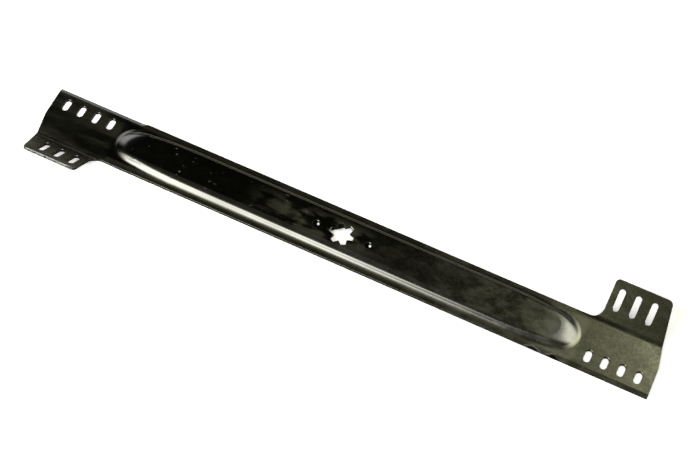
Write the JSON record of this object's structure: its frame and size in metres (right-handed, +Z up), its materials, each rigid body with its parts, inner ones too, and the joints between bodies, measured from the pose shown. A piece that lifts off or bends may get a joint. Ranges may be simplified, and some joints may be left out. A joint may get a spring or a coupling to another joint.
{
  "type": "lawn tractor blade",
  "caption": "Long pressed steel mower blade with a raised rib, a star hole for the spindle, ground cutting edges and slotted wings bent up behind them.",
  "frame": {"origin": "on the spindle axis, at the flat underside that the blade rests on", "axes": "+X along the blade, +Y towards the wing of the +X end, +Z up through the star towards the spindle"},
  "size_m": [0.756, 0.1502, 0.032],
  "materials": {
    "blade_steel": "semi-gloss black over pressed steel, with bare metal at the cut edges"
  },
  "bodies": {
    "root": {"blade": "blade_steel"}
  },
  "joints": []
}
